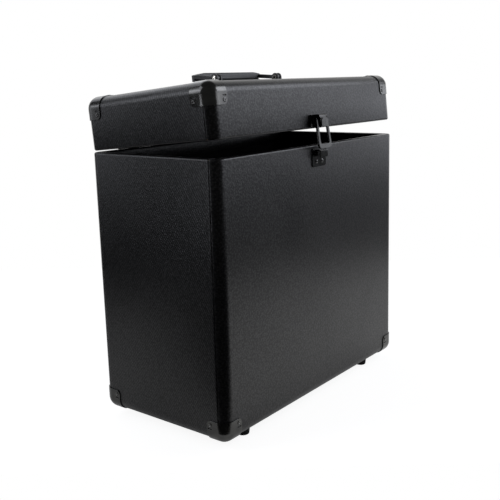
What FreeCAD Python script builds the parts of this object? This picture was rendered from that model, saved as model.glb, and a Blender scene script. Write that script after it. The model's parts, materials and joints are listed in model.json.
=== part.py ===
import FreeCAD, Part
import os
import re
import Sketcher
from FreeCAD import Vector

# A carrying case for 12-inch records: wooden box and hinged lid in leatherette, steel corner guards,
# a draw latch on the front and a folding handle on the lid. Origin: centre of the footprint on the
# floor, X to the right along the front, Y towards the hinges, Z up. The lid stands ajar.

doc = FreeCAD.newDocument("RecordCase")
sheet = doc.addObject("Spreadsheet::Sheet", "Sizes")

sizes = {
    # Case
    "case_width": 350.0,
    "case_depth": 182.0,
    "body_height": 293.56,
    "edge_radius": 12.5,
    "covering": 0.8,
    "board": 8.0,
    "lining": 0.8,
    "turn_in": 15.0,
    "seam_inset": 9.7,
    "seam_gap": 1.0,
    # Lid
    "rim_gap": 0.8,
    "lid_height": 56.6,
    "lid_inset": 1.0,
    "lid_ajar": 5.5,
    # Feet
    "foot_height": 9.7,
    "foot_top_radius": 8.0,
    "foot_bottom_radius": 6.7,
    "foot_inset_x": 50.7,
    "foot_inset_y": 19.5,
    "foot_screw_depth": 6.0,
    # Corner guards
    "guard_thickness": 1.0,
    "guard_tab_width": 25.0,
    "guard_tab_length": 24.0,
    "guard_tab_corner": 5.5,
    "guard_slot_start": 18.0,
    "guard_slot_length": 5.6,
    "guard_slot_width": 1.1,
    "guard_slot_drop": 15.0,
    "nail_inset": 20.3,
    "nail_drop": 19.4,
    "nail_on_plate": 19.5,
    "nail_head_radius": 2.2,
    "nail_head_height": 0.7,
    "nail_radius": 0.8,
    "nail_length": 7.5,
    # Hinges
    "hinge_offset": 2.2,
    "hinge_drop": 0.5,
    "hinge_inset": 65.0,
    "hinge_length": 40.0,
    "hinge_leaf_height": 20.0,
    "hinge_thickness": 1.2,
    "hinge_knuckle_radius": 2.0,
    "hinge_knuckle_length": 14.0,
    "hinge_pin_radius": 1.0,
    "hinge_pin_clearance": 0.05,
    "hinge_end_gap": 0.3,
    "hinge_turn_gap": 0.4,
    "hinge_pin_overhang": 0.6,
    "hinge_screw_offset": 12.0,
    "hinge_screw_drop": 12.0,
    # Screws
    "screw_radius": 1.2,
    "screw_head_radius": 2.3,
    "screw_head_height": 1.0,
    "screw_length": 7.0,
    "slot_width": 0.5,
    "slot_depth": 0.5,
    "fixing_clearance": 0.05,
    # Keeper on the body
    "keeper_width": 27.0,
    "keeper_top_drop": 3.16,
    "keeper_height": 21.3,
    "keeper_thickness": 1.2,
    "keeper_corner": 3.0,
    "hook_width": 15.0,
    "hook_reach": 7.8,
    "hook_top_drop": 5.16,
    "hook_thickness": 1.3,
    "hook_lip": 1.2,
    "hook_lip_height": 8.3,
    "keeper_screw_offset": 5.5,
    "keeper_screw_rise": 6.2,
    # Latch on the lid
    "latch_width": 28.0,
    "latch_rise": 0.5,
    "latch_height": 14.7,
    "latch_thickness": 1.2,
    "latch_flange_reach": 2.6,
    "latch_flange_height": 1.7,
    "latch_corner": 2.0,
    "ear_inner": 6.0,
    "ear_outer": 7.4,
    "ear_radius": 2.6,
    "lever_pin_reach": 7.5,
    "lever_pin_rise": 12.5,
    "lever_pin_radius": 1.0,
    "lever_pin_clearance": 0.05,
    "lever_pin_overhang": 0.5,
    "lever_inner": 4.0,
    "lever_outer": 11.0,
    "lever_rise": 0.7,
    "lever_width": 14.0,
    "lever_waist_width": 11.6,
    "lever_waist_reach": 3.0,
    "lever_eye_radius": 2.5,
    "emboss_width": 11.6,
    "emboss_height": 10.4,
    "emboss_root": 1.2,
    "emboss_depth": 0.8,
    "bail_drop": 5.0,
    "bail_length": 30.4,
    "bail_thickness": 2.6,
    "bail_leg": 3.1,
    "bail_bar": 5.0,
    "bail_inner_top": 8.2,
    "bail_inner_bottom": 9.15,
    "bail_corner": 2.5,
    "bail_lean": 3.0,
    "bail_lug_radius": 0.9,
    "bail_lug_length": 1.6,
    "bail_lug_clearance": 0.05,
    "latch_screw_offset": 11.8,
    "latch_screw_rise": 4.0,
    "latch_screw_head": 1.7,
    # Handle on the lid
    "strap_inset": 1.5,
    "handle_line": 0.5,
    "handle_pin_height": 9.6,
    "handle_pin_radius": 2.0,
    "handle_pin_clearance": 0.05,
    "handle_pin_head": 3.0,
    "handle_pin_head_height": 1.2,
    "bracket_gap": 4.4,
    "bracket_thickness": 1.5,
    "bracket_radius": 4.9,
    "bracket_foot_width": 9.0,
    "bracket_foot_length": 30.0,
    "bracket_corner": 4.0,
    "rivet_offset": 11.0,
    "rivet_radius": 1.5,
    "rivet_head_radius": 2.9,
    "rivet_head_height": 1.4,
    "rivet_tail_radius": 3.0,
    "rivet_tail_height": 0.8,
    "arm_thickness": 4.0,
    "arm_height": 4.6,
    "arm_eye_radius": 3.8,
    "arm_rise": 9.0,
    "arm_tongue": 6.5,
    "grip_length": 116.0,
    "grip_near": 26.0,
    "grip_depth": 14.5,
    "grip_height": 7.6,
    "grip_floor": 11.3,
    "grip_corner": 2.2,
    "grip_end_corner": 8.0,
    "grip_taper": 13.0,
    "grip_taper_drop": 1.8,
    "cut_overrun": 5.0,
}

# Sizes that follow from the sizes above
formulas = {
    "half_width": "case_width / 2",
    "half_depth": "case_depth / 2",
    "wall": "covering + board + lining",
    "shell": "covering + board",
    "rim": "foot_height + body_height",
    "lid_bottom": "rim + rim_gap",
    "lid_top": "lid_bottom + lid_height",
    "lid_half": "half_width - lid_inset",
    "lid_front": "lid_inset - half_depth",
    "hinge_y": "half_depth + hinge_offset",
    "hinge_z": "rim - hinge_drop",
    "hinge_spread": "half_width - hinge_inset",
    "hinge_bore": "hinge_pin_radius + hinge_pin_clearance",
    "hinge_end": "hinge_length / 2",
    "knuckle_half": "hinge_knuckle_length / 2",
    "hinge_notch": "hinge_knuckle_radius + hinge_turn_gap",
    "keeper_top": "rim - keeper_top_drop",
    "keeper_bottom": "keeper_top - keeper_height",
    "hook_top": "rim - hook_top_drop",
    "hook_inner": "hook_reach - hook_lip",
    "latch_bottom": "lid_bottom + latch_rise",
    "latch_top": "latch_bottom + latch_height",
    "lever_pin_y": "lid_front - lever_pin_reach",
    "lever_pin_z": "lid_bottom + lever_pin_rise",
    "lever_bottom": "lid_bottom + lever_rise",
    "lever_half": "lever_width / 2",
    "lever_waist_z": "lever_pin_z - lever_waist_reach",
    "bail_pivot_z": "lever_pin_z - bail_drop",
    "lug_bore": "bail_lug_radius + bail_lug_clearance",
    "handle_pin_z": "lid_top + handle_pin_height",
    "bracket_inner": "bracket_gap / 2",
    "bracket_outer": "bracket_inner + bracket_thickness",
    "grip_half": "grip_length / 2",
    "handle_spread": "grip_half - strap_inset",
}


def in_sheet(text):
    """A formula in words, written with the names of the sheet's cells."""
    def cell(word):
        name = word[0]
        if name in formulas:
            return "(" + in_sheet(formulas[name]) + ")"
        return "Sizes." + name if name in sizes else name
    return re.sub(r"[a-z_]+", cell, text)


def number(text):
    return float(sheet.evalExpression(in_sheet(text)))


def bind(piece, **texts):
    for prop, text in texts.items():
        piece.setExpression(prop, in_sheet(text))
    return piece


def place(piece, x, y, z):
    for letter, text in (("x", x), ("y", y), ("z", z)):
        piece.setExpression("Placement.Base." + letter, in_sheet(text))
    return piece


for row, (name, value) in enumerate(sizes.items(), start=1):
    sheet.set(f"A{row}", name)
    sheet.set(f"B{row}", str(value))
    sheet.setAlias(f"B{row}", name)
doc.recompute()

turns = {
    "x": FreeCAD.Rotation(Vector(0, 1, 0), 90),
    "y": FreeCAD.Rotation(Vector(1, 0, 0), -90),
    "-y": FreeCAD.Rotation(Vector(1, 0, 0), 90),
    "z": FreeCAD.Rotation(),
    "-z": FreeCAD.Rotation(Vector(1, 0, 0), 180),
}


def box(name, x0, x1, y0, y1, z0, z1):
    piece = doc.addObject("Part::Box", name)
    bind(piece, Length=f"({x1}) - ({x0})", Width=f"({y1}) - ({y0})", Height=f"({z1}) - ({z0})")
    return place(piece, x0, y0, z0)


def cylinder(name, axis, radius, length, x, y, z):
    piece = doc.addObject("Part::Cylinder", name)
    piece.Placement = FreeCAD.Placement(Vector(), turns[axis])
    bind(piece, Radius=radius, Height=length)
    return place(piece, x, y, z)


def cone(name, axis, radius1, radius2, length, x, y, z):
    piece = doc.addObject("Part::Cone", name)
    piece.Placement = FreeCAD.Placement(Vector(), turns[axis])
    bind(piece, Radius1=radius1, Radius2=radius2, Height=length)
    return place(piece, x, y, z)


def cut(name, base, tool):
    piece = doc.addObject("Part::Cut", name)
    piece.Base = base
    piece.Tool = tool
    return piece


def common(name, *shapes):
    piece = doc.addObject("Part::MultiCommon", name)
    piece.Shapes = list(shapes)
    return piece


def fuse(name, *shapes):
    piece = doc.addObject("Part::MultiFuse", name)
    piece.Shapes = list(shapes)
    piece.Refine = True
    return piece


def group(name, *links):
    piece = doc.addObject("Part::Compound", name)
    piece.Links = list(links)
    return piece


def polygon_pad(name, plane, points, offset, length):
    """A straight-sided outline on one origin plane, padded along the plane's normal."""
    body = doc.addObject("PartDesign::Body", name)
    sketch = body.newObject("Sketcher::SketchObject", name + "Outline")
    origin_plane = [item for item in body.Origin.OriginFeatures if item.Role == plane][0]
    sketch.AttachmentSupport = [(origin_plane, "")]
    sketch.MapMode = "FlatFace"
    sketch.setExpression("AttachmentOffset.Base.z", in_sheet(offset))
    corners = [Vector(number(u), number(v), 0) for u, v in points]
    count = len(corners)
    for i in range(count):
        sketch.addGeometry(Part.LineSegment(corners[i], corners[(i + 1) % count]))
    for i in range(count):
        sketch.addConstraint(Sketcher.Constraint("Coincident", i, 2, (i + 1) % count, 1))
    for i, (u, v) in enumerate(points):
        for kind, text in (("DistanceX", u), ("DistanceY", v)):
            index = sketch.addConstraint(Sketcher.Constraint(kind, -1, 1, i, 1, number(text)))
            sketch.setExpression(f"Constraints[{index}]", in_sheet(text))
    pad = body.newObject("PartDesign::Pad", name + "Pad")
    pad.Profile = sketch
    pad.setExpression("Length", in_sheet(length))
    doc.recompute()
    return body


def fillet(body, radius, near):
    """Rounds the edges of the body's last feature whose middle passes the test."""
    base = body.Tip
    names = [f"Edge{i}" for i, edge in enumerate(base.Shape.Edges, start=1) if near(edge)]
    feature = body.newObject("PartDesign::Fillet", f"{body.Name}Round{len(body.Group)}")
    feature.Base = (base, names)
    feature.setExpression("Radius", in_sheet(radius))
    doc.recompute()
    return feature


def middle(edge):
    return edge.BoundBox.Center


def along(edge, letter):
    sides = {"x": edge.BoundBox.XLength, "y": edge.BoundBox.YLength, "z": edge.BoundBox.ZLength}
    rest = [value for key, value in sides.items() if key != letter]
    return sides[letter] > 100 * max(rest)


def corner_edge(letter, **values):
    """A test for the straight edges along one axis that pass through the given places."""
    def near(edge):
        centre = middle(edge)
        places = {"x": centre.x, "y": centre.y, "z": centre.z}
        slack = number("covering") / 4
        return along(edge, letter) and all(abs(places[key] - number(text)) < slack
                                           for key, text in values.items())
    return near


def rounded_block(name, x0, x1, y0, y1, z0, z1, radius, rounded_z):
    """A block with rounded upright edges and the edges of one horizontal face rounded too."""
    body = polygon_pad(name, "XY_Plane", [(x0, y0), (x1, y0), (x1, y1), (x0, y1)], z0, f"({z1}) - ({z0})")
    face_z = number(rounded_z)
    slack = number("covering") / 4
    fillet(body, radius, lambda edge: along(edge, "z") or abs(middle(edge).z - face_z) < slack)
    return body


def front_plate(name, width, z0, z1, forward, thickness, corner):
    """An upright plate centred on the front, with rounded corners."""
    half = f"({width}) / 2"
    outline = [(f"-{half}", z0), (half, z0), (half, z1), (f"-{half}", z1)]
    body = polygon_pad(name, "XZ_Plane", outline, forward, thickness)
    fillet(body, corner, lambda edge: along(edge, "y"))
    return body


lid_turn = ("placement(vector(0; 0; 0); rotation(vector(1; 0; 0); 0 - lid_ajar);"
            " vector(0; hinge_y; hinge_z))")


def corner_turn(x, y, z, angle, flip):
    """Carries the guard of the front left upper corner to another corner."""
    move = f"placement(vector({x}; {y}; {z}); rotation(vector(0; 0; 1); {angle}))"
    if flip:
        move += " * placement(vector(0; 0; 0); rotation(vector(1; 1; 0); 180))"
    return move


finished = []


def finish(piece, name, in_lid=False):
    """Names a piece for its file and, on the lid, swings it to where the lid stands."""
    piece.Label = name
    if in_lid:
        piece.setExpression("Placement", in_sheet(lid_turn))
    finished.append(piece)
    return piece


def screw(name, axis, x, y, z, head_radius="screw_head_radius", length="screw_length"):
    """A round-headed screw: x, y, z is the seat of the head and the axis points out of the wood."""
    signs = {"y": (0, 1, 0), "-y": (0, -1, 0), "z": (0, 0, 1), "-z": (0, 0, -1)}
    sx, sy, sz = signs[axis]
    top = [f"({x}) + {sx} * (screw_head_height)", f"({y}) + {sy} * (screw_head_height)",
           f"({z}) + {sz} * (screw_head_height)"]
    shank_end = [f"({x}) - {sx} * ({length})", f"({y}) - {sy} * ({length})", f"({z}) - {sz} * ({length})"]
    head = cone(name + "Head", axis, head_radius, f"({head_radius}) * 0.7", "screw_head_height", x, y, z)
    shank = cylinder(name + "Shank", axis, "screw_radius", f"({length}) + screw_head_height / 2", *shank_end)
    whole = fuse(name + "Blank", head, shank)
    half = f"({head_radius})"
    if axis in ("y", "-y"):
        low = f"({top[1]}) - slot_depth" if sy > 0 else top[1]
        slot = box(name + "Slot", f"({x}) - {half}", f"({x}) + {half}", low, f"({low}) + slot_depth",
                   f"({z}) - slot_width / 2", f"({z}) + slot_width / 2")
    else:
        low = f"({top[2]}) - slot_depth" if sz > 0 else top[2]
        slot = box(name + "Slot", f"({x}) - {half}", f"({x}) + {half}", f"({y}) - slot_width / 2",
                   f"({y}) + slot_width / 2", low, f"({low}) + slot_depth")
    pilot = cylinder(name + "Pilot", axis, "screw_radius + fixing_clearance",
                     f"({length}) + fixing_clearance + cut_overrun",
                     *[f"({end}) - {sign} * fixing_clearance"
                       for end, sign in zip(shank_end, (sx, sy, sz))])
    return cut(name, whole, slot), pilot


# Rounded outer and inner forms of the box and of the lid
body_skin = rounded_block("BodySkin", "-half_width", "half_width", "-half_depth", "half_depth",
                          "foot_height", "rim", "edge_radius", "foot_height")
body_wood = rounded_block("BodyWood", "covering - half_width", "half_width - covering",
                          "covering - half_depth", "half_depth - covering",
                          "foot_height + covering", "rim - covering", "edge_radius - covering",
                          "foot_height + covering")
lid_skin = rounded_block("LidSkin", "-lid_half", "lid_half", "lid_front", "half_depth",
                         "lid_bottom", "lid_top", "edge_radius", "lid_top")
lid_wood = rounded_block("LidWood", "covering - lid_half", "lid_half - covering",
                         "lid_front + covering", "half_depth - covering",
                         "lid_bottom + covering", "lid_top - covering", "edge_radius - covering",
                         "lid_top - covering")

# Corner guard of the front left upper corner, its corner at the origin
guard_far = "guard_tab_width + edge_radius + guard_thickness + cut_overrun"
guard_in_far = f"{guard_far} + cut_overrun"
guard_out = rounded_block("GuardOut", "-guard_thickness", guard_far, "-guard_thickness", guard_far,
                          "0 - (guard_tab_width + cut_overrun)", "guard_thickness",
                          "edge_radius + guard_thickness", "guard_thickness")
guard_in = rounded_block("GuardIn", "0", guard_in_far, "0", guard_in_far,
                         "0 - (guard_tab_width + 2 * cut_overrun)", "0", "edge_radius", "0")
guard_sheet = cut("GuardSheet", guard_out, guard_in)
tab_outline = [("-guard_thickness", "guard_thickness"), ("guard_tab_width", "guard_thickness"),
               ("guard_tab_width", "-guard_tab_length"), ("-guard_thickness", "-guard_tab_length")]


def tab_prism(name, plane, offset, letter):
    other = "x" if letter == "y" else "y"
    prism = polygon_pad(name, plane, tab_outline, offset, "guard_tab_width + guard_thickness")
    fillet(prism, "guard_tab_corner",
           corner_edge(letter, **{other: "guard_tab_width", "z": "-guard_tab_length"}))
    return prism


guard_front = tab_prism("GuardFrontTab", "XZ_Plane", "0 - guard_tab_width", "y")
guard_side = tab_prism("GuardSideTab", "YZ_Plane", "0 - guard_thickness", "x")
guard_plate = polygon_pad("GuardPlate", "XY_Plane",
                          [("-guard_thickness", "-guard_thickness"), ("guard_tab_width", "-guard_thickness"),
                           ("guard_tab_width", "guard_tab_width"), ("-guard_thickness", "guard_tab_width")],
                          "0 - guard_tab_width", "guard_tab_width + guard_thickness")
fillet(guard_plate, "guard_tab_corner", corner_edge("z", x="guard_tab_width", y="guard_tab_width"))
guard_blank = common("GuardBlank", guard_sheet, guard_front, guard_side, guard_plate)
slot_half = "guard_slot_width / 2"
guard_slots = group(
    "GuardSlots",
    box("SlotFront", "guard_slot_start", "guard_slot_start + guard_slot_length",
        "0 - guard_thickness - cut_overrun", "cut_overrun",
        f"0 - guard_slot_drop - {slot_half}", f"{slot_half} - guard_slot_drop"),
    box("SlotSide", "0 - guard_thickness - cut_overrun", "cut_overrun",
        "guard_slot_start", "guard_slot_start + guard_slot_length",
        f"0 - guard_slot_drop - {slot_half}", f"{slot_half} - guard_slot_drop"))


def guard_nail(name, axis, x, y, z):
    """A round-headed nail through the guard: x, y, z is its place on the guard's outer face."""
    sx, sy, sz = {"-x": (-1, 0, 0), "-y": (0, -1, 0), "z": (0, 0, 1)}[axis]
    turn = {"-x": FreeCAD.Rotation(Vector(0, 1, 0), -90), "-y": turns["-y"], "z": turns["z"]}[axis]
    parts = []
    for label, kind, start in (("Head", "cone", "0"), ("Shank", "cylinder", "nail_length"),
                               ("Hole", "hole", "nail_length + fixing_clearance")):
        spot = [f"({x}) - {sx} * ({start})", f"({y}) - {sy} * ({start})", f"({z}) - {sz} * ({start})"]
        if kind == "cone":
            piece = cone(name + label, "z", "nail_head_radius", "nail_head_radius * 0.55",
                         "nail_head_height", *spot)
        elif kind == "cylinder":
            piece = cylinder(name + label, "z", "nail_radius", "nail_length + nail_head_height / 2", *spot)
        else:
            piece = cylinder(name + label, "z", "nail_radius + fixing_clearance",
                             "nail_length + fixing_clearance + cut_overrun", *spot)
        piece.Placement = FreeCAD.Placement(piece.Placement.Base, turn)
        parts.append(piece)
    return fuse(name, parts[0], parts[1]), parts[2]


nail_front, hole_front = guard_nail("NailFront", "-y", "nail_inset", "0 - guard_thickness", "0 - nail_drop")
nail_side, hole_side = guard_nail("NailSide", "-x", "0 - guard_thickness", "nail_inset", "0 - nail_drop")
nail_plate, hole_plate = guard_nail("NailPlate", "z", "nail_on_plate", "nail_on_plate", "guard_thickness")
corner_nails = group("CornerNails", nail_front, nail_side, nail_plate)
corner_holes = group("CornerHoles", hole_front, hole_side, hole_plate)
guard_form = cut("GuardForm", cut("GuardSlotted", guard_blank, guard_slots), corner_holes)

corners = {
    "front_left": ("-", "front", 0),
    "front_right": ("", "front", 90),
    "back_right": ("", "back", 180),
    "back_left": ("-", "back", 270),
}


def guards_of(owner, half, front, level, flip, in_lid):
    """The four guards of the box or of the lid with their nails; returns the nail holes."""
    nails, holes = [], []
    for corner, (sign, end, angle) in corners.items():
        # Seen from below, the flipped guard takes its corner with the same quarter turns
        x = f"{sign}{half}"
        y = front if end == "front" else "half_depth"
        turn = in_sheet(corner_turn(x, y, level, angle, flip))
        guard = group(f"{owner}Guard{angle}", guard_form)
        nail_set = group(f"{owner}Nails{angle}", corner_nails)
        hole_set = group(f"{owner}NailHoles{angle}", corner_holes)
        for piece in (nail_set, hole_set):
            piece.setExpression("Placement", turn)
        guard.setExpression("Placement", in_sheet(lid_turn) + " * " + turn if in_lid else turn)
        guard.Label = f"{owner.lower()}_guard_{corner}"
        finished.append(guard)
        nails.append(nail_set)
        holes.append(hole_set)
    finish(group(f"{owner}GuardNails", *nails), f"{owner.lower()}_guard_nails", in_lid)
    return holes


body_holes = guards_of("Body", "half_width", "-half_depth", "foot_height", True, False)
lid_holes = guards_of("Lid", "lid_half", "lid_front", "lid_top", False, True)

# Feet, each held by a screw from below
foot_screws = []
for end, y in (("front", "foot_inset_y - half_depth"), ("back", "half_depth - foot_inset_y")):
    for side, x in (("left", "foot_inset_x - half_width"), ("right", "half_width - foot_inset_x")):
        tag = end.capitalize() + side.capitalize()
        rubber = cone("FootRubber" + tag, "z", "foot_bottom_radius", "foot_top_radius", "foot_height",
                      x, y, "0")
        seat = "foot_height - foot_screw_depth"
        well = cylinder("FootWell" + tag, "z", "screw_head_radius + covering", seat, x, y, "0")
        bolt, pilot = screw("FootScrew" + tag, "-z", x, y, seat, length="screw_length + foot_screw_depth")
        finish(cut("Foot" + tag, rubber, group("FootHole" + tag, well, pilot)), f"foot_{end}_{side}")
        foot_screws.append(bolt)
        body_holes.append(pilot)
finish(group("FootScrews", *foot_screws), "foot_screws")

# Hinges at the back. The leaves meet at three knuckles: two on the body leaf, one on the lid leaf.
body_hinge_screws, lid_hinge_screws = [], []
for side, x in (("left", "-hinge_spread"), ("right", "hinge_spread")):
    tag = side.capitalize()
    bore = cylinder("HingeBore" + tag, "x", "hinge_bore", "hinge_length + 2 * cut_overrun",
                    f"({x}) - hinge_end - cut_overrun", "hinge_y", "hinge_z")
    for owner, way in (("Body", "-1"), ("Lid", "1")):
        far = f"hinge_z + ({way}) * hinge_leaf_height"
        notch = f"hinge_z + ({way}) * hinge_notch"
        low, high = (far, notch) if owner == "Body" else (notch, far)
        plate = box(f"{owner}Leaf{tag}Plate", f"({x}) - hinge_end", f"({x}) + hinge_end",
                    "half_depth", "half_depth + hinge_thickness", low, high)
        spans = [(f"({x}) - knuckle_half", f"({x}) + knuckle_half")]
        if owner == "Body":
            spans = [(f"({x}) - hinge_end", f"({x}) - knuckle_half - hinge_end_gap"),
                     (f"({x}) + knuckle_half + hinge_end_gap", f"({x}) + hinge_end")]
        solids = [plate]
        for i, (start, stop) in enumerate(spans):
            low, high = (notch, "hinge_z") if owner == "Body" else ("hinge_z", notch)
            solids.append(box(f"{owner}Leaf{tag}Tongue{i}", start, stop,
                              "hinge_y - hinge_knuckle_radius", "half_depth + hinge_thickness", low, high))
            solids.append(cylinder(f"{owner}Leaf{tag}Knuckle{i}", "x", "hinge_knuckle_radius",
                                   f"({stop}) - ({start})", start, "hinge_y", "hinge_z"))
        holes = [bore]
        for i, shift in enumerate(("-hinge_screw_offset", "hinge_screw_offset")):
            bolt, pilot = screw(f"{owner}HingeScrew{tag}{i}", "y", f"({x}) + ({shift})",
                                "half_depth + hinge_thickness", f"hinge_z + ({way}) * hinge_screw_drop")
            holes.append(pilot)
            (body_hinge_screws if owner == "Body" else lid_hinge_screws).append(bolt)
            (body_holes if owner == "Body" else lid_holes).append(pilot)
        leaf = cut(f"{owner}Leaf{tag}", fuse(f"{owner}Leaf{tag}Blank", *solids),
                   group(f"{owner}Leaf{tag}Holes", *holes))
        finish(leaf, f"hinge_{owner.lower()}_leaf_{side}", owner == "Lid")
    pin = cylinder("HingePin" + tag, "x", "hinge_pin_radius", "hinge_length + 2 * hinge_pin_overhang",
                   f"({x}) - hinge_end - hinge_pin_overhang", "hinge_y", "hinge_z")
    finish(pin, f"hinge_pin_{side}")
finish(group("HingeBodyScrews", *body_hinge_screws), "hinge_body_screws")
finish(group("HingeLidScrews", *lid_hinge_screws), "hinge_lid_screws", True)

# Keeper: a plate on the body's front with a hook that opens downwards
keeper_plate = front_plate("KeeperPlate", "keeper_width", "keeper_bottom", "keeper_top", "half_depth",
                           "keeper_thickness", "keeper_corner")
hook = polygon_pad("KeeperHook", "YZ_Plane",
                   [("-half_depth", "hook_top"), ("-half_depth - hook_reach", "hook_top"),
                    ("-half_depth - hook_reach", "hook_top - hook_lip_height"),
                    ("-half_depth - hook_inner", "hook_top - hook_lip_height"),
                    ("-half_depth - hook_inner", "hook_top - hook_thickness"),
                    ("-half_depth", "hook_top - hook_thickness")],
                   "-hook_width / 2", "hook_width")
fillet(hook, "hook_lip", corner_edge("x", y="-half_depth - hook_reach", z="hook_top"))
keeper_holes, keeper_bolts = [], []
for i, x in enumerate(("-keeper_screw_offset", "keeper_screw_offset")):
    bolt, pilot = screw(f"KeeperScrew{i}", "-y", x, "-half_depth - keeper_thickness",
                        "keeper_bottom + keeper_screw_rise")
    keeper_bolts.append(bolt)
    keeper_holes.append(pilot)
    body_holes.append(pilot)
finish(cut("Keeper", fuse("KeeperBlank", keeper_plate, hook), group("KeeperHoles", *keeper_holes)), "keeper")
finish(group("KeeperScrews", *keeper_bolts), "keeper_screws")

# Latch base on the lid's front: plate, rolled top flange and two ears for the lever's pin
base_plate = front_plate("LatchPlate", "latch_width", "latch_bottom", "latch_top", "-lid_front",
                         "latch_thickness", "latch_corner")
base_flange = box("LatchFlange", "latch_corner - latch_width / 2", "latch_width / 2 - latch_corner",
                  "lid_front - latch_flange_reach", "lid_front", "latch_top - latch_flange_height",
                  "latch_top")
base_solids = [base_plate, base_flange]
for side, x0, x1 in (("Left", "-ear_outer", "-ear_inner"), ("Right", "ear_inner", "ear_outer")):
    base_solids.append(cylinder("LatchEar" + side, "x", "ear_radius", "ear_outer - ear_inner", x0,
                                "lever_pin_y", "lever_pin_z"))
    base_solids.append(box("LatchArm" + side, x0, x1, "lever_pin_y", "lid_front",
                           "lever_pin_z - ear_radius + covering", "latch_top"))
latch_bolts, latch_holes = [], []
for i, x in enumerate(("-latch_screw_offset", "latch_screw_offset")):
    bolt, pilot = screw(f"LatchScrew{i}", "-y", x, "lid_front - latch_thickness",
                        "lid_bottom + latch_screw_rise", head_radius="latch_screw_head")
    latch_bolts.append(bolt)
    latch_holes.append(pilot)
    lid_holes.append(pilot)
pin_bore = cylinder("LatchPinBore", "x", "lever_pin_radius + lever_pin_clearance",
                    "2 * latch_width", "-latch_width", "lever_pin_y", "lever_pin_z")
finish(cut("LatchBase", fuse("LatchBaseBlank", *base_solids), group("LatchHoles", pin_bore, *latch_holes)),
       "latch_base", True)
finish(group("LatchScrews", *latch_bolts), "latch_base_screws", True)
latch_pin = cylinder("LatchPin", "x", "lever_pin_radius", "2 * (ear_outer + lever_pin_overhang)",
                     "-ear_outer - lever_pin_overhang", "lever_pin_y", "lever_pin_z")
finish(group("LatchPinHung", latch_pin), "latch_lever_pin", True)

# Latch lever: full width below its eye, a narrow eye between the ears, a raised arch on its front
lever_block = box("LeverBlock", "-lever_half", "lever_half", "lid_front - lever_outer",
                  "lid_front - lever_inner", "lever_bottom", "lever_waist_z")
lever_neck = box("LeverNeck", "-lever_waist_width / 2", "lever_waist_width / 2",
                 "lever_pin_y - lever_eye_radius", "lever_pin_y + lever_eye_radius",
                 "lever_waist_z - covering", "lever_pin_z")
lever_eye = cylinder("LeverEye", "x", "lever_eye_radius", "lever_waist_width", "-lever_waist_width / 2",
                     "lever_pin_y", "lever_pin_z")
arch = polygon_pad("LeverArch", "XZ_Plane",
                   [("-emboss_width / 2", "lever_bottom + covering"),
                    ("emboss_width / 2", "lever_bottom + covering"),
                    ("emboss_width / 2", "lever_bottom + emboss_height"),
                    ("-emboss_width / 2", "lever_bottom + emboss_height")],
                   "lever_outer - lid_front - emboss_root", "emboss_depth + emboss_root")
for x in ("-emboss_width / 2", "emboss_width / 2"):
    fillet(arch, "emboss_width * 0.4", corner_edge("y", x=x, z="lever_bottom + emboss_height"))
lug_bores = group("LugBores", *[
    cylinder("LugBore" + side, "x", "lug_bore", "bail_lug_length + 2 * bail_lug_clearance", start,
             "lever_pin_y", "bail_pivot_z")
    for side, start in (("Left", "-lever_half - bail_lug_clearance"),
                        ("Right", "lever_half + bail_lug_clearance - bail_lug_length"
                                  " - 2 * bail_lug_clearance"))])
lever_blank = fuse("LeverBlank", lever_block, lever_neck, lever_eye, arch)
finish(cut("LatchLever", lever_blank, group("LeverHoles", pin_bore, lug_bores)), "latch_lever", True)

# Latch bail: a stamped loop hung on two lugs in the lever, wider at its bar than at its lugs
bail_end = "bail_pivot_z - bail_length"
bail_top = "bail_pivot_z + bail_leg / 2"
bail_out = "bail_inner_bottom + bail_leg"
bail_face = "0 - lever_pin_y - bail_thickness / 2"
loop = polygon_pad("BailOuter", "XZ_Plane",
                   [(f"-({bail_out})", bail_end), (bail_out, bail_end),
                    ("bail_inner_top + bail_leg", bail_top), ("-(bail_inner_top + bail_leg)", bail_top)],
                   bail_face, "bail_thickness")
for x in (f"-({bail_out})", bail_out):
    fillet(loop, "bail_corner + bail_leg / 2", corner_edge("y", x=x, z=bail_end))
window = polygon_pad("BailWindow", "XZ_Plane",
                     [("-bail_inner_bottom", f"{bail_end} + bail_bar"),
                      ("bail_inner_bottom", f"{bail_end} + bail_bar"),
                      ("bail_inner_top", f"{bail_top} + cut_overrun"),
                      ("-bail_inner_top", f"{bail_top} + cut_overrun")],
                     f"{bail_face} - cut_overrun", "bail_thickness + 2 * cut_overrun")
for x in ("-bail_inner_bottom", "bail_inner_bottom"):
    fillet(window, "bail_corner", corner_edge("y", x=x, z=f"{bail_end} + bail_bar"))
lugs = [cylinder("BailLug" + side, "x", "bail_lug_radius", "bail_leg / 2 + bail_inner_top - lever_half"
                 " + bail_lug_length", start, "lever_pin_y", "bail_pivot_z")
        for side, start in (("Left", "-bail_inner_top - bail_leg / 2"),
                            ("Right", "lever_half - bail_lug_length"))]
bail_flat = fuse("BailFlat", cut("BailLoop", loop, window), *lugs)
bail = group("LatchBail", bail_flat)
bail.Label = "latch_bail"
bail.setExpression("Placement", in_sheet(
    lid_turn + " * placement(vector(0; 0; 0); rotation(vector(1; 0; 0); 0 - bail_lean);"
    " vector(0; lever_pin_y; bail_pivot_z))"))
finished.append(bail)

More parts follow.
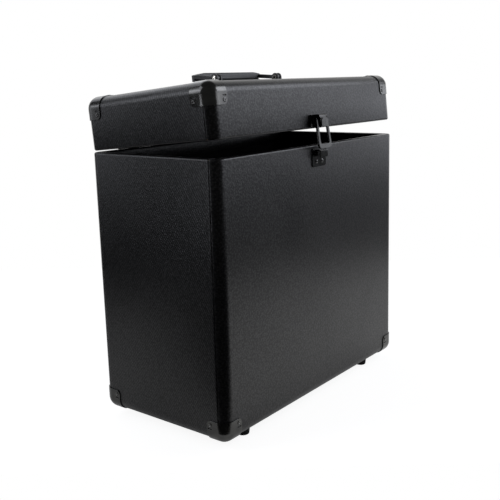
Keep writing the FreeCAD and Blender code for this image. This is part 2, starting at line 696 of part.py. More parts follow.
# Handle brackets, riveted through the lid's top
rivets = []
for side, x in (("left", "-handle_spread"), ("right", "handle_spread")):
    tag = side.capitalize()
    sole = polygon_pad("BracketSole" + tag, "XY_Plane",
                       [(f"({x}) - bracket_foot_width / 2", "handle_line - bracket_foot_length / 2"),
                        (f"({x}) + bracket_foot_width / 2", "handle_line - bracket_foot_length / 2"),
                        (f"({x}) + bracket_foot_width / 2", "handle_line + bracket_foot_length / 2"),
                        (f"({x}) - bracket_foot_width / 2", "handle_line + bracket_foot_length / 2")],
                       "lid_top", "bracket_thickness")
    fillet(sole, "bracket_corner", lambda edge: along(edge, "z"))
    solids = [sole]
    for i, start in enumerate((f"({x}) - bracket_outer", f"({x}) + bracket_inner")):
        stop = f"({start}) + bracket_thickness"
        solids.append(box(f"BracketEar{tag}{i}", start, stop, "handle_line - bracket_radius",
                          "handle_line + bracket_radius", "lid_top", "handle_pin_z"))
        solids.append(cylinder(f"BracketEye{tag}{i}", "x", "bracket_radius", "bracket_thickness", start,
                               "handle_line", "handle_pin_z"))
    bore = cylinder("BracketBore" + tag, "x", "handle_pin_radius + handle_pin_clearance",
                    "2 * bracket_foot_width", f"({x}) - bracket_foot_width", "handle_line", "handle_pin_z")
    holes = [bore]
    for i, y in enumerate(("handle_line - rivet_offset", "handle_line + rivet_offset")):
        name = f"Rivet{tag}{i}"
        seat = "lid_top + bracket_thickness"
        head = cone(name + "Head", "z", "rivet_head_radius", "rivet_head_radius * 0.6",
                    "rivet_head_height", x, y, seat)
        shank = cylinder(name + "Shank", "z", "rivet_radius", f"{seat} - (lid_top - wall) + covering",
                         x, y, "lid_top - wall - covering / 2")
        tail = cylinder(name + "Tail", "z", "rivet_tail_radius", "rivet_tail_height", x, y,
                        "lid_top - wall - rivet_tail_height")
        rivets.append(fuse(name, head, shank, tail))
        hole = cylinder(name + "Hole", "z", "rivet_radius + fixing_clearance",
                        "wall + bracket_thickness + 2 * cut_overrun", x, y, "lid_top - wall - cut_overrun")
        holes.append(hole)
        lid_holes.append(hole)
    bracket = cut("HandleBracket" + tag, fuse(f"Bracket{tag}Blank", *solids),
                  group(f"Bracket{tag}Holes", *holes))
    finish(bracket, f"handle_bracket_{side}", True)
    pin_half = "bracket_outer + handle_pin_clearance"
    pin = fuse("HandlePin" + tag,
               cylinder("HandlePinRod" + tag, "x", "handle_pin_radius", f"2 * ({pin_half})",
                        f"({x}) - ({pin_half})", "handle_line", "handle_pin_z"),
               cylinder("HandlePinHeadA" + tag, "x", "handle_pin_head", "handle_pin_head_height",
                        f"({x}) + ({pin_half})", "handle_line", "handle_pin_z"),
               cylinder("HandlePinHeadB" + tag, "x", "handle_pin_head", "handle_pin_head_height",
                        f"({x}) - ({pin_half}) - handle_pin_head_height", "handle_line", "handle_pin_z"))
    finish(pin, f"handle_pin_{side}", True)
finish(group("HandleRivets", *rivets), "handle_rivets", True)

# Handle: two straps rise from the pins to a grip that lies behind them
grip_bottom = "lid_top + grip_floor"
grip_top = "lid_top + grip_floor + grip_height"
grip_low = "lid_top + grip_floor + grip_height - grip_taper_drop"
grip = polygon_pad("GripForm", "XZ_Plane",
                   [("-grip_half", grip_bottom), ("grip_half", grip_bottom), ("grip_half", grip_low),
                    ("grip_half - grip_taper", grip_top), ("grip_taper - grip_half", grip_top),
                    ("-grip_half", grip_low)],
                   "0 - handle_line - grip_near - grip_depth", "grip_depth")
for y in ("handle_line + grip_near", "handle_line + grip_near + grip_depth"):
    for z in (grip_bottom, grip_top):
        fillet(grip, "grip_corner", corner_edge("x", y=y, z=z))
grip_plan = polygon_pad("GripPlan", "XY_Plane",
                        [("-grip_half", "handle_line + grip_near"), ("grip_half", "handle_line + grip_near"),
                         ("grip_half", "handle_line + grip_near + grip_depth"),
                         ("-grip_half", "handle_line + grip_near + grip_depth")],
                        f"{grip_bottom} - cut_overrun", "grip_height + 2 * cut_overrun")
for x in ("-grip_half", "grip_half"):
    fillet(grip_plan, "grip_end_corner", corner_edge("z", x=x, y="handle_line + grip_near + grip_depth"))
    fillet(grip_plan, "grip_corner", corner_edge("z", x=x, y="handle_line + grip_near"))
grip = common("GripRounded", grip, grip_plan)
arm_tools, arm_pieces = [], []
for side, x in (("left", "-handle_spread"), ("right", "handle_spread")):
    tag = side.capitalize()
    start, stop = f"({x}) - arm_thickness / 2", f"({x}) + arm_thickness / 2"
    strap_end = "grip_near + arm_tongue"
    strap = box("StrapBar" + tag, start, stop, "handle_line", f"handle_line + {strap_end}",
                "handle_pin_z - arm_height / 2", "handle_pin_z + arm_height / 2")
    eye = cylinder("StrapEye" + tag, "x", "arm_eye_radius", "arm_thickness", start, "handle_line",
                   "handle_pin_z")
    flat = fuse("StrapFlat" + tag, strap, eye)
    bore = cylinder("StrapBore" + tag, "x", "handle_pin_radius + handle_pin_clearance",
                    "2 * arm_thickness", f"({x}) - arm_thickness", "handle_line", "handle_pin_z")
    raised = group("StrapRaised" + tag, cut("StrapBored" + tag, flat, bore))
    raised.setExpression("Placement", in_sheet(
        "placement(vector(0; 0; 0); rotation(vector(1; 0; 0); arm_rise);"
        " vector(0; handle_line; handle_pin_z))"))
    arm_pieces.append((raised, side))
    arm_tools.append(raised)
finish(cut("HandleGrip", grip, group("GripSockets", *arm_tools)), "handle_grip", True)
for raised, side in arm_pieces:
    finish(group("HandleArm" + side.capitalize(), raised), f"handle_arm_{side}", True)


def wooden_box(owner, wood, skin, x_half, y_front, z_shut, z_open, way, holes, in_lid):
    """Boards, covering and lining of an open box; z_shut is its closed face, z_open its rim."""
    low, high = (z_shut, z_open) if way == 1 else (z_open, z_shut)
    name = owner.lower()
    pilots = group(owner + "Pilots", *holes)
    far = "half_depth + cut_overrun"
    front_in, back_in = f"{y_front} + shell", "half_depth - shell"
    left_in, right_in = f"shell - {x_half}", f"{x_half} - shell"
    shut_in = f"{z_shut} + ({way}) * shell"
    low_end, high_end = f"{low} - cut_overrun", f"{high} + cut_overrun"
    inner_low, inner_high = (shut_in, high_end) if way == 1 else (low_end, shut_in)
    slab_low, slab_high = (low_end, shut_in) if way == 1 else (shut_in, high_end)
    slabs = {
        "front": (f"-{x_half} - cut_overrun", f"{x_half} + cut_overrun", f"{y_front} - cut_overrun",
                  front_in, low_end, high_end),
        "back": (f"-{x_half} - cut_overrun", f"{x_half} + cut_overrun", back_in, far, low_end, high_end),
        "left": (f"-{x_half} - cut_overrun", left_in, front_in, back_in, low_end, high_end),
        "right": (right_in, f"{x_half} + cut_overrun", front_in, back_in, low_end, high_end),
        ("bottom" if way == 1 else "top"): (left_in, right_in, front_in, back_in, slab_low, slab_high),
    }
    for side, limits in slabs.items():
        plank = common(f"{owner}Plank{side.capitalize()}", wood,
                       box(f"{owner}Slab{side.capitalize()}", *limits))
        finish(cut(f"{owner}Board{side.capitalize()}", plank, pilots), f"{name}_{side}_board", in_lid)
    # The covering turns in over the rim and ends on the lining
    hollow = box(owner + "Hollow", f"wall - {x_half}", f"{x_half} - wall", f"{y_front} + wall",
                 "half_depth - wall", *((f"{z_shut} + wall", high_end) if way == 1
                                        else (low_end, f"{z_shut} - wall")))
    turn_low, turn_high = ((f"{z_open} - turn_in", high_end) if way == 1
                           else (low_end, f"{z_open} + turn_in"))
    turned = box(owner + "TurnIn", left_in, right_in, front_in, back_in, turn_low, turn_high)
    core = cut(owner + "Core", wood, turned)
    coat = cut(owner + "Coat", cut(owner + "Shell", skin, core), hollow)
    coat_holed = cut(owner + "CoatHoled", coat, pilots)
    seam_front, seam_back = f"{y_front} + seam_inset", "half_depth - seam_inset"
    half_gap = "seam_gap / 2"
    for side, sign, inner in (("left", "-", f"edge_radius + seam_gap - {x_half}"),
                              ("right", "", f"{x_half} - edge_radius - seam_gap")):
        tag = side.capitalize()
        outer = f"{sign}{x_half}"
        x_low, x_high = (f"{outer} - cut_overrun", inner) if side == "left" else (inner,
                                                                                  f"{outer} + cut_overrun")
        panel_zone = box(f"{owner}PanelZone{tag}", x_low, x_high, f"{seam_front} + {half_gap}",
                         f"{seam_back} - {half_gap}", low_end, high_end)
        finish(common(f"{owner}Panel{tag}", coat_holed, panel_zone), f"{name}_{side}_panel", in_lid)
        gap_low, gap_high = ((x_low, f"{inner} + seam_gap") if side == "left"
                             else (f"{inner} - seam_gap", x_high))
        wrap_zones.append(box(f"{owner}SeamZone{tag}", gap_low, gap_high, f"{seam_front} - {half_gap}",
                              f"{seam_back} + {half_gap}", low_end, high_end))
    wrap = cut(owner + "Wrap", coat_holed, group(owner + "SeamZones", *wrap_zones[-2:]))
    finish(wrap, f"{name}_wrap", in_lid)
    lined_low, lined_high = ((f"{z_shut} + shell", f"{z_open} - turn_in") if way == 1
                             else (f"{z_open} + turn_in", f"{z_shut} - shell"))
    felt = box(owner + "Felt", left_in, right_in, front_in, back_in, lined_low, lined_high)
    felt_shell = cut(owner + "FeltShell", felt, hollow)
    finish(cut(owner + "Lining", felt_shell, pilots), f"{name}_lining", in_lid)


wrap_zones = []
wooden_box("Body", body_wood, body_skin, "half_width", "-half_depth", "foot_height", "rim", 1,
           body_holes, False)
wooden_box("Lid", lid_wood, lid_skin, "lid_half", "lid_front", "lid_top", "lid_bottom", -1,
           lid_holes, True)
doc.recompute()

# Every object is sound before anything is written
for item in doc.Objects:
    if "Invalid" in item.State or "Error" in item.State:
        raise RuntimeError(f"{item.Name}: {item.State}")
labels = [piece.Label for piece in finished]
assert len(labels) == len(set(labels)), "two pieces share a name"
for piece in finished:
    if piece.Shape.isNull() or not piece.Shape.isValid() or not piece.Shape.Solids:
        raise RuntimeError(f"{piece.Label}: no sound solid")

os.makedirs("parts", exist_ok=True)
for piece in finished:
    piece.Shape.exportStep(f"parts/{piece.Label}.step")
    limits = piece.Shape.BoundBox
    print(f"{piece.Label:28s} {len(piece.Shape.Solids):3d} solids {piece.Shape.Volume:12.1f} mm3 "
          f"x {limits.XMin:7.1f} {limits.XMax:7.1f} y {limits.YMin:7.1f} {limits.YMax:7.1f} "
          f"z {limits.ZMin:7.1f} {limits.ZMax:7.1f}")
print(len(finished), "pieces")
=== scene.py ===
import json
import math
import bpy
import bmesh
from mathutils import Matrix, Vector


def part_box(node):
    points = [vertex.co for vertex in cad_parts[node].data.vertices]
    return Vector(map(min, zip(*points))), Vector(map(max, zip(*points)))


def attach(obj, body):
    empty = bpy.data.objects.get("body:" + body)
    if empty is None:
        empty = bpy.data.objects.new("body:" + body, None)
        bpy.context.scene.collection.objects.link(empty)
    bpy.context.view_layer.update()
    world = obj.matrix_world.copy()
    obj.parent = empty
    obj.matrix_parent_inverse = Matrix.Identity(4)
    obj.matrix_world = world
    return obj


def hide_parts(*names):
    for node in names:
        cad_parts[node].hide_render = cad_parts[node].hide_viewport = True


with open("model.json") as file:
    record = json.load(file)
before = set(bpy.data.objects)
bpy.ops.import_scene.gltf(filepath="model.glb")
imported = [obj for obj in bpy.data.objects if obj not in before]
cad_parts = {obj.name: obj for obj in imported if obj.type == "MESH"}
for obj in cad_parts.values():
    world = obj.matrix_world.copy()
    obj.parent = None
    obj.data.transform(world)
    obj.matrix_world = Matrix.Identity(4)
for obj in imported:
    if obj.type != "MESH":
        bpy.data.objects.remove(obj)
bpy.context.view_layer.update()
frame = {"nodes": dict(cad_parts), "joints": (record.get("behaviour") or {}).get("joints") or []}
mm = 0.001

# The lid stands ajar: its pieces are made shut, then swung up about the hinge
joints = {joint["name"]: joint for joint in frame["joints"]}
hingePoint = Vector(joints["lid_hinge"]["pos_m"])
lidAjar = math.radians(-joints["lid_hinge"]["range_deg"][0])


def turnAbout(point, angle):
    return Matrix.Translation(point) @ Matrix.Rotation(angle, 4, "X") @ Matrix.Translation(-point)


lidTurn = turnAbout(hingePoint, -lidAjar)
still = Matrix.Identity(4)


def shutBox(node):
    # A lid node's corners with the lid shut.
    back = lidTurn.inverted()
    points = [back @ vertex.co for vertex in frame["nodes"][node].data.vertices]
    low = Vector([min(point[i] for point in points) for i in range(3)])
    high = Vector([max(point[i] for point in points) for i in range(3)])
    return low, high


# Materials
def hexColour(text, alpha=1.0):
    # An sRGB hex colour as Blender's linear colour.
    channels = [int(text[i:i + 2], 16) / 255 for i in (1, 3, 5)]
    linear = [c / 12.92 if c <= 0.04045 else ((c + 0.055) / 1.055) ** 2.4 for c in channels]
    return (*linear, alpha)


def addNode(tree, kind, inputs=None, stops=(), into=None, **settings):
    # A node with its settings, values and links, a colour ramp's stops and the input that it feeds.
    node = tree.nodes.new(kind)
    for name, value in settings.items():
        setattr(node, name, value)
    for key, value in (inputs or {}).items():
        if isinstance(value, bpy.types.Node):
            value = value.outputs[0]
        if isinstance(value, bpy.types.NodeSocket):
            tree.links.new(value, node.inputs[key])
        else:
            node.inputs[key].default_value = value
    for i, (place, colour) in enumerate(stops):
        node.color_ramp.elements[i].position = place
        node.color_ramp.elements[i].color = hexColour(colour)
    if into:
        tree.links.new(node.outputs[0], into)
    return node


def newMaterial(name, colour, roughness, metallic=0.0, specular=0.5):
    material = bpy.data.materials.new(name)
    material.use_nodes = True
    tree = material.node_tree
    shader = tree.nodes["Principled BSDF"]
    shader.inputs["Base Color"].default_value = hexColour(colour)
    shader.inputs["Roughness"].default_value = roughness
    shader.inputs["Metallic"].default_value = metallic
    shader.inputs["Specular IOR Level"].default_value = specular
    return material, tree, shader


def objectPlace(tree, stretch=(1, 1, 1)):
    # Object coordinates, so that a pattern keeps its real size.
    coordinate = addNode(tree, "ShaderNodeTexCoord")
    return addNode(tree, "ShaderNodeMapping", {"Vector": coordinate.outputs["Object"], "Scale": stretch})


leatherette = {
    "crest": "#0f0f10",
    # painted shade: the colour down in the creases of the relief
    "creaseShade": "#050506",
    "creaseShadeSpan": (0.3, 1.0),   # heights of the relief at which the colour is the painted crease shade's and the crest's
    "glossShade": "#b8b8b8",         # painted shade: share of the gloss that is left in the creases
    "glossShadeSpan": (0.3, 0.9),
    "pebble": 2.1 * mm,         # embossed grain; the real one is finer than a render pixel
    "pebbleBlend": 0.25,
    "fibres": {"Detail": 1.5, "Roughness": 0.6},
    "rib": 2.6 * mm,            # slanting ribs of the cloth backing, pressed through; drawn coarser too
    "ribWander": 1.6,           # how far the fibres push a rib aside, in half pitches
    "depth": 0.12 * mm,
    "relief": 0.6,
    "waves": {"Scale": 16.0, "Detail": 1.0},   # to the metre: the sheet follows the board unevenly
    "waveDepth": 2.0 * mm,
    "waveRelief": 0.12,
    "waveSpan": (0.3, 0.7),
    "roughness": (0.32, 0.36),
    "specular": 0.49,
    "sides": {"way": (0.0, 0.848, -0.53), "ribShare": 0.7},
    "front": {"way": (0.848, 0.3, -0.53), "ribShare": 0.1},
}


def makeLeatherette(name, spec, ribs):
    # PVC leatherette, calendered and embossed: a soft plastic sheen over fine pebbles and slanting ribs,
    # with painted shade in the creases
    low, high = spec["roughness"]
    material, tree, shader = newMaterial(name, spec["crest"], low, specular=spec["specular"])
    place = objectPlace(tree)
    scale = 1 / spec["pebble"]
    pebbles = addNode(tree, "ShaderNodeTexVoronoi",
                      {"Vector": place, "Scale": scale, "Smoothness": spec["pebbleBlend"]},
                      feature="SMOOTH_F1")
    fibres = addNode(tree, "ShaderNodeTexNoise", {"Vector": place, "Scale": scale, **spec["fibres"]})
    grain = addNode(tree, "ShaderNodeMath", {0: pebbles, 1: -1.0, 2: fibres}, operation="MULTIPLY_ADD")
    turns = Vector(ribs["way"]).normalized() * (2 * math.pi / spec["rib"])
    along = addNode(tree, "ShaderNodeVectorMath", {0: place, 1: turns}, operation="DOT_PRODUCT")
    wander = addNode(tree, "ShaderNodeMath", {0: fibres, 1: spec["ribWander"] * math.pi,
                                              2: along.outputs["Value"]}, operation="MULTIPLY_ADD")
    wave = addNode(tree, "ShaderNodeMath", {0: wander}, operation="SINE")
    ridge = addNode(tree, "ShaderNodeMath", {0: wave, 1: 0.5 * ribs["ribShare"], 2: 0.5},
                    operation="MULTIPLY_ADD")
    height = addNode(tree, "ShaderNodeMath", {0: ridge, 1: grain}, operation="ADD")
    waves = addNode(tree, "ShaderNodeTexNoise", {"Vector": place, **spec["waves"]})
    waveBump = addNode(tree, "ShaderNodeBump", {"Height": waves, "Strength": spec["waveRelief"],
                                                "Distance": spec["waveDepth"]})
    addNode(tree, "ShaderNodeBump", {"Height": height, "Strength": spec["relief"],
                                     "Distance": spec["depth"], "Normal": waveBump},
            into=shader.inputs["Normal"])
    # Painted shade: the colour turns darker and the gloss dimmer down in the creases and between the ribs
    for socket, span, colours in (("Base Color", "creaseShadeSpan", (spec["creaseShade"], spec["crest"])),
                                  ("Specular Tint", "glossShadeSpan", (spec["glossShade"], "#ffffff"))):
        addNode(tree, "ShaderNodeValToRGB", {"Fac": height}, stops=zip(spec[span], colours),
                into=shader.inputs[socket])
    start, stop = spec["waveSpan"]
    addNode(tree, "ShaderNodeMapRange", {"Value": waves, "From Min": start, "From Max": stop,
                                         "To Min": low, "To Max": high}, into=shader.inputs["Roughness"])
    return material


def makeFinish(name, spec):
    # A fine relief, and clouds that turn the colour paler and the gloss duller
    roughness = spec["roughness"]
    material, tree, shader = newMaterial(name, spec["colour"], roughness, spec.get("metallic", 0.0),
                                         spec.get("specular", 0.5))
    place = objectPlace(tree, spec.get("stretch", (1, 1, 1)))
    relief, clouds = spec.get("relief"), spec.get("clouds")
    if relief:
        texture = addNode(tree, relief.get("kind", "ShaderNodeTexNoise"),
                          {"Vector": place, "Scale": 1 / relief["size"], **relief.get("noise", {})},
                          **relief.get("settings", {}))
        addNode(tree, "ShaderNodeBump", {"Height": texture, "Strength": relief["strength"],
                                         "Distance": relief["depth"]}, into=shader.inputs["Normal"])
    if clouds:
        texture = addNode(tree, "ShaderNodeTexNoise", {"Vector": place, "Scale": 1 / clouds["size"],
                                                       **clouds["noise"]})
        addNode(tree, "ShaderNodeValToRGB", {"Fac": texture}, into=shader.inputs["Base Color"],
                stops=zip(clouds["span"], (spec["colour"], spec["paler"])))
    if clouds and "dulling" in clouds:
        start, stop = clouds["dullSpan"]
        addNode(tree, "ShaderNodeMapRange", {"Value": texture, "From Min": start, "From Max": stop,
                                             "To Min": roughness, "To Max": roughness + clouds["dulling"]},
                into=shader.inputs["Roughness"])
    return material


# Stoving enamel on pressed steel: black and smooth with a slight orange peel, greyer where it is rubbed
enamel = {
    "relief": {"size": 0.9 * mm, "noise": {"Detail": 2.0}, "strength": 0.12, "depth": 0.06 * mm},
    "clouds": {"size": 11.11 * mm, "noise": {"Detail": 4.0}, "span": (0.45, 0.75),
               "dullSpan": (0.35, 0.7), "dulling": 0.08},
}

# Black nickel plate on pressed steel: a dark mirror, paler where the plate is thin
blackNickel = {
    "metallic": 1.0,
    "relief": {"size": 1.2 * mm, "noise": {"Detail": 2.0}, "strength": 0.1, "depth": 0.05 * mm},
    "clouds": {"size": 9.09 * mm, "noise": {"Detail": 4.0}, "span": (0.4, 0.75),
               "dullSpan": (0.35, 0.7), "dulling": 0.07},
}

# Nickel-plated steel rivet: bright, with fine turning marks
turnedNickel = {
    "colour": "#c9c5bd",
    "roughness": 0.22,
    "metallic": 1.0,
    "stretch": (1, 6, 1),
    "relief": {"size": 0.5 * mm, "noise": {"Detail": 2.0}, "strength": 0.1, "depth": 0.03 * mm},
}

# Moulded rubber: matt, faintly dusty
mouldedRubber = {
    "colour": "#0b0b0b",
    "paler": "#151514",
    "roughness": 0.75,
    "specular": 0.25,
    "relief": {"size": 1.2 * mm, "noise": {"Detail": 4.0}, "strength": 0.2, "depth": 0.08 * mm},
    "clouds": {"size": 1.2 * mm, "noise": {"Detail": 4.0}, "span": (0.4, 0.8)},
}

# Black lining paper, felted: matt, with short fibres
feltedPaper = {
    "colour": "#0a0a0b",
    "paler": "#151516",
    "roughness": 0.9,
    "specular": 0.15,
    "stretch": (1, 1, 3),
    "relief": {"size": 1.1 * mm, "noise": {"Detail": 5.0, "Roughness": 0.7}, "strength": 0.35,
               "depth": 0.15 * mm},
    "clouds": {"size": 1.1 * mm, "noise": {"Detail": 5.0, "Roughness": 0.7}, "span": (0.35, 0.7)},
}

# Rotary-cut poplar plywood under the covering: dull, with long grain
rotaryPoplar = {
    "colour": "#8f7250",
    "paler": "#b3966e",
    "roughness": 0.65,
    "specular": 0.3,
    "stretch": (1, 1, 14),
    "clouds": {"size": 9.0 * mm, "noise": {"Detail": 6.0}, "span": (0.3, 0.7)},
}

# Moulded plastic with a fine leather grain and a dull sheen
mouldedPlastic = {
    "colour": "#1d1e20",
    "paler": "#27282a",
    "roughness": 0.42,
    "specular": 0.45,
    "relief": {"kind": "ShaderNodeTexVoronoi", "settings": {"feature": "SMOOTH_F1"}, "size": 1.1 * mm,
               "strength": 0.25, "depth": 0.12 * mm},
    "clouds": {"size": 16.67 * mm, "noise": {"Detail": 3.0}, "span": (0.35, 0.7)},
}

sideLeatherette = makeLeatherette("leatheretteSide", leatherette, leatherette["sides"])
frontLeatherette = makeLeatherette("leatheretteFront", leatherette, leatherette["front"])
finishes = {name: makeFinish(name, spec) for name, spec in {
    "guardNickel": dict(blackNickel, colour="#454544", paler="#535351", roughness=0.17),
    "nailNickel": dict(blackNickel, colour="#535352", paler="#656563", roughness=0.13),
    "latchNickel": dict(blackNickel, colour="#353534", paler="#464645", roughness=0.15),
    "hingeEnamel": dict(enamel, colour="#131314", paler="#222224", roughness=0.34),
    "strapEnamel": dict(enamel, colour="#111112", paler="#202022", roughness=0.32),
    "screwEnamel": dict(enamel, colour="#0f0f10", paler="#1d1d1f", roughness=0.22, specular=0.6),
    "rivetNickel": turnedNickel,
    "footRubber": mouldedRubber,
    "liningPaper": feltedPaper,
    "poplarPly": rotaryPoplar,
    "gripPlastic": mouldedPlastic,
}.items()}
print("materials made")


# Meshes
meshing = {
    "weld": 0.002 * mm,       # vertices closer than this are one
    "flat": 1.0,              # degrees between faces that count as one
    "eased": 35.0,            # degrees from which an edge is rounded
    "smooth": 40.0,           # degrees up to which shading runs over an edge
    "smoothHead": 38.0,
    "smoothSkin": 50.0,
}


def newPiece(name, mesh, material, body, nodes):
    piece = bpy.data.objects.new(name, mesh)
    bpy.context.scene.collection.objects.link(piece)
    mesh.materials.clear()
    mesh.materials.append(material)
    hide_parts(*nodes)
    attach(piece, body)
    return piece


def bakeModifiers(name, mesh, modifiers):
    # The mesh with modifiers applied; each modifier is (kind, settings).
    carrier = bpy.data.objects.new(name + "Carrier", mesh)
    bpy.context.scene.collection.objects.link(carrier)
    for kind, settings in modifiers:
        modifier = carrier.modifiers.new(kind, kind)
        for key, value in settings.items():
            setattr(modifier, key, value)
    bpy.context.view_layer.update()
    graph = bpy.context.evaluated_depsgraph_get()
    baked = bpy.data.meshes.new_from_object(carrier.evaluated_get(graph), depsgraph=graph)
    baked.name = name
    bpy.data.objects.remove(carrier)
    return baked


def easeOf(width, segments, angle):
    return ("BEVEL", {"width": width, "segments": segments, "limit_method": "ANGLE",
                      "angle_limit": math.radians(angle), "use_clamp_overlap": True})


def smoothed(mesh, angle=meshing["smooth"]):
    mesh.shade_smooth()
    work = bmesh.new()
    work.from_mesh(mesh)
    for edge in work.edges:
        edge.smooth = len(edge.link_faces) != 2 or edge.calc_face_angle(0) < math.radians(angle)
    work.to_mesh(mesh)
    work.free()
    return mesh


def dressNode(node, name, finish, body, edge, segments=2, angle=meshing["eased"]):
    # A finished copy of a CAD node: its loose triangles joined and its edges eased.
    work = bmesh.new()
    work.from_mesh(frame["nodes"][node].data)
    bmesh.ops.remove_doubles(work, verts=work.verts, dist=meshing["weld"])
    bmesh.ops.dissolve_limit(work, angle_limit=math.radians(meshing["flat"]), verts=work.verts,
                             edges=work.edges)
    mesh = bpy.data.meshes.new(name)
    work.to_mesh(mesh)
    work.free()
    mesh.shade_smooth()
    eased = [easeOf(edge, segments, angle), ("WEIGHTED_NORMAL", {"keep_sharp": True})]
    return newPiece(name, smoothed(bakeModifiers(name, mesh, eased)), finishes[finish], body, [node])


# Covering of the box and of the lid
covering = {
    "edge": 12.5 * mm,        # outer radius of the case's edges
    "thickness": 0.7 * mm,
    "wall": 9.6 * mm,         # across the rim that it wraps
    "turnIn": 15.0 * mm,      # how far it goes down inside
    "seam": 9.7 * mm,         # from the front or the back to the middle of a seam
    "gap": 1.0 * mm,
    "underlap": 0.55 * mm,    # how deep the wrap runs on under a seam
    "rimRound": 2.0 * mm,
    "arcSteps": 14,
    "rimSteps": 5,
    "edgeEase": 0.22 * mm,
    "easeAngle": 60.0,
    "weld": 0.004 * mm,
    "onCut": 0.001 * mm,      # vertices this near to a seam's cut count as on it
}


def roundedRing(halfX, front, back, radius, inset, steps, sharpest=0.02 * mm):
    # Points of a rounded rectangle drawn in by inset, from the front left corner round by the right.
    corner = max(radius - inset, sharpest)
    left, right = inset + corner - halfX, halfX - inset - corner
    near, far = front + inset + corner, back - inset - corner
    points = []
    for x, y, start in ((left, near, 180), (right, near, 270), (right, far, 0), (left, far, 90)):
        for i in range(steps + 1):
            angle = math.radians(start + 90 * i / steps)
            points.append((x + corner * math.cos(angle), y + corner * math.sin(angle)))
    return points


def coverProfile(shut, rim, spec):
    # From the closed face round the edge, up the wall, over the rim and down inside: (inset, z).
    way = 1 if rim > shut else -1
    radius, steps = spec["edge"], spec["arcSteps"]
    path = []
    for i in range(steps + 1):
        angle = math.radians(90 * i / steps)
        path.append((radius * (1 - math.sin(angle)), shut + way * radius * (1 - math.cos(angle))))
    small = spec["rimRound"]
    for centre, start in ((small, 0), (spec["wall"] - small, 90)):
        for i in range(spec["rimSteps"] + 1):
            angle = math.radians(start + 90 * i / spec["rimSteps"])
            path.append((centre - small * math.cos(angle), rim - way * small * (1 - math.sin(angle))))
    path.append((spec["wall"], rim - way * spec["turnIn"]))
    return path


def coverMesh(name, halfX, front, back, shut, rim, spec):
    # One skin, cut along its seams; returns meshes of the wrap and of the left and right panels.
    profile = coverProfile(shut, rim, spec)
    skin = bmesh.new()
    rings = []
    for inset, z in profile:
        ring = roundedRing(halfX, front, back, spec["edge"], inset, spec["arcSteps"])
        rings.append([skin.verts.new((x, y, z)) for x, y in ring])
    for low, high in zip(rings, rings[1:]):
        for i in range(len(low)):
            j = (i + 1) % len(low)
            skin.faces.new((low[i], low[j], high[j], high[i]))
    skin.faces.new(rings[0])
    bmesh.ops.remove_doubles(skin, verts=skin.verts, dist=spec["weld"])
    panelNear = front + spec["seam"] + spec["gap"] / 2
    panelFar = back - spec["seam"] - spec["gap"] / 2
    stripNear, stripFar = panelNear - spec["gap"], panelFar + spec["gap"]
    inner = halfX - spec["edge"] - spec["gap"]      # the side panels end here, on the closed face
    stripInner = inner - spec["gap"]
    across, along = Vector((1, 0, 0)), Vector((0, 1, 0))
    cuts = [(along, y) for y in (stripNear, panelNear, stripFar, panelFar)]
    cuts += [(across, side * x) for side in (-1, 1) for x in (inner, stripInner)]
    for normal, value in cuts:
        bmesh.ops.bisect_plane(skin, geom=skin.verts[:] + skin.edges[:] + skin.faces[:],
                               plane_co=normal * value, plane_no=normal, dist=spec["onCut"])
    bmesh.ops.recalc_face_normals(skin, faces=skin.faces)
    # Outward means away from the middle of the closed face
    probe = max(skin.faces, key=lambda face: abs(face.calc_center_median().x))
    if probe.normal.x * probe.calc_center_median().x < 0:
        bmesh.ops.reverse_faces(skin, faces=skin.faces)
    groups = {"Wrap": [], "LeftPanel": [], "RightPanel": [], "Strip": []}
    for face in skin.faces:
        centre = face.calc_center_median()
        if abs(centre.x) > inner and panelNear < centre.y < panelFar:
            groups["LeftPanel" if centre.x < 0 else "RightPanel"].append(face)
        elif abs(centre.x) > stripInner and stripNear < centre.y < stripFar:
            groups["Strip"].append(face)
        else:
            groups["Wrap"].append(face)
    meshes = {}
    for group, faces in groups.items():
        part = bmesh.new()
        copies = {}
        drop = spec["underlap"] if group == "Strip" else 0
        for face in faces:
            for vertex in face.verts:
                if vertex not in copies:
                    copies[vertex] = part.verts.new(vertex.co - vertex.normal * drop)
            part.faces.new([copies[vertex] for vertex in face.verts])
        part.normal_update()
        mesh = bpy.data.meshes.new(name + group)
        part.to_mesh(mesh)
        part.free()
        mesh.shade_smooth()
        meshes[group] = mesh
    skin.free()
    return meshes


def coverPieces(owner, body, halfX, front, back, shut, rim, turn, spec):
    meshes = coverMesh(owner, halfX, front, back, shut, rim, spec)
    sheet = ("SOLIDIFY", {"thickness": spec["thickness"], "offset": -1.0})
    thinSheet = ("SOLIDIFY", {"thickness": spec["thickness"] / 4, "offset": -1.0})
    ease = easeOf(spec["edgeEase"], 2, spec["easeAngle"])
    strip = bakeModifiers(owner + "Strip", meshes["Strip"], [thinSheet])
    for group, node, material in (("Wrap", "wrap", frontLeatherette),
                                  ("LeftPanel", "left_panel", sideLeatherette),
                                  ("RightPanel", "right_panel", sideLeatherette)):
        mesh = bakeModifiers(owner + group, meshes[group], [sheet, ease])
        if group == "Wrap":
            joined = bmesh.new()
            joined.from_mesh(mesh)
            joined.from_mesh(strip)
            joined.to_mesh(mesh)
            joined.free()
        mesh.transform(turn)
        newPiece(owner + group, smoothed(mesh, meshing["smoothSkin"]), material, body,
                 [f"{owner}_{node}"])


wrapLow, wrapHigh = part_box("body_wrap")
coverPieces("body", "case_body", -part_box("body_left_panel")[0].x, wrapLow.y, wrapHigh.y, wrapLow.z,
            wrapHigh.z, still, covering)
wrapLow, wrapHigh = shutBox("lid_wrap")
coverPieces("lid", "lid", -shutBox("lid_left_panel")[0].x, wrapLow.y, wrapHigh.y, wrapHigh.z,
            wrapLow.z, lidTurn, covering)
print("coverings made")

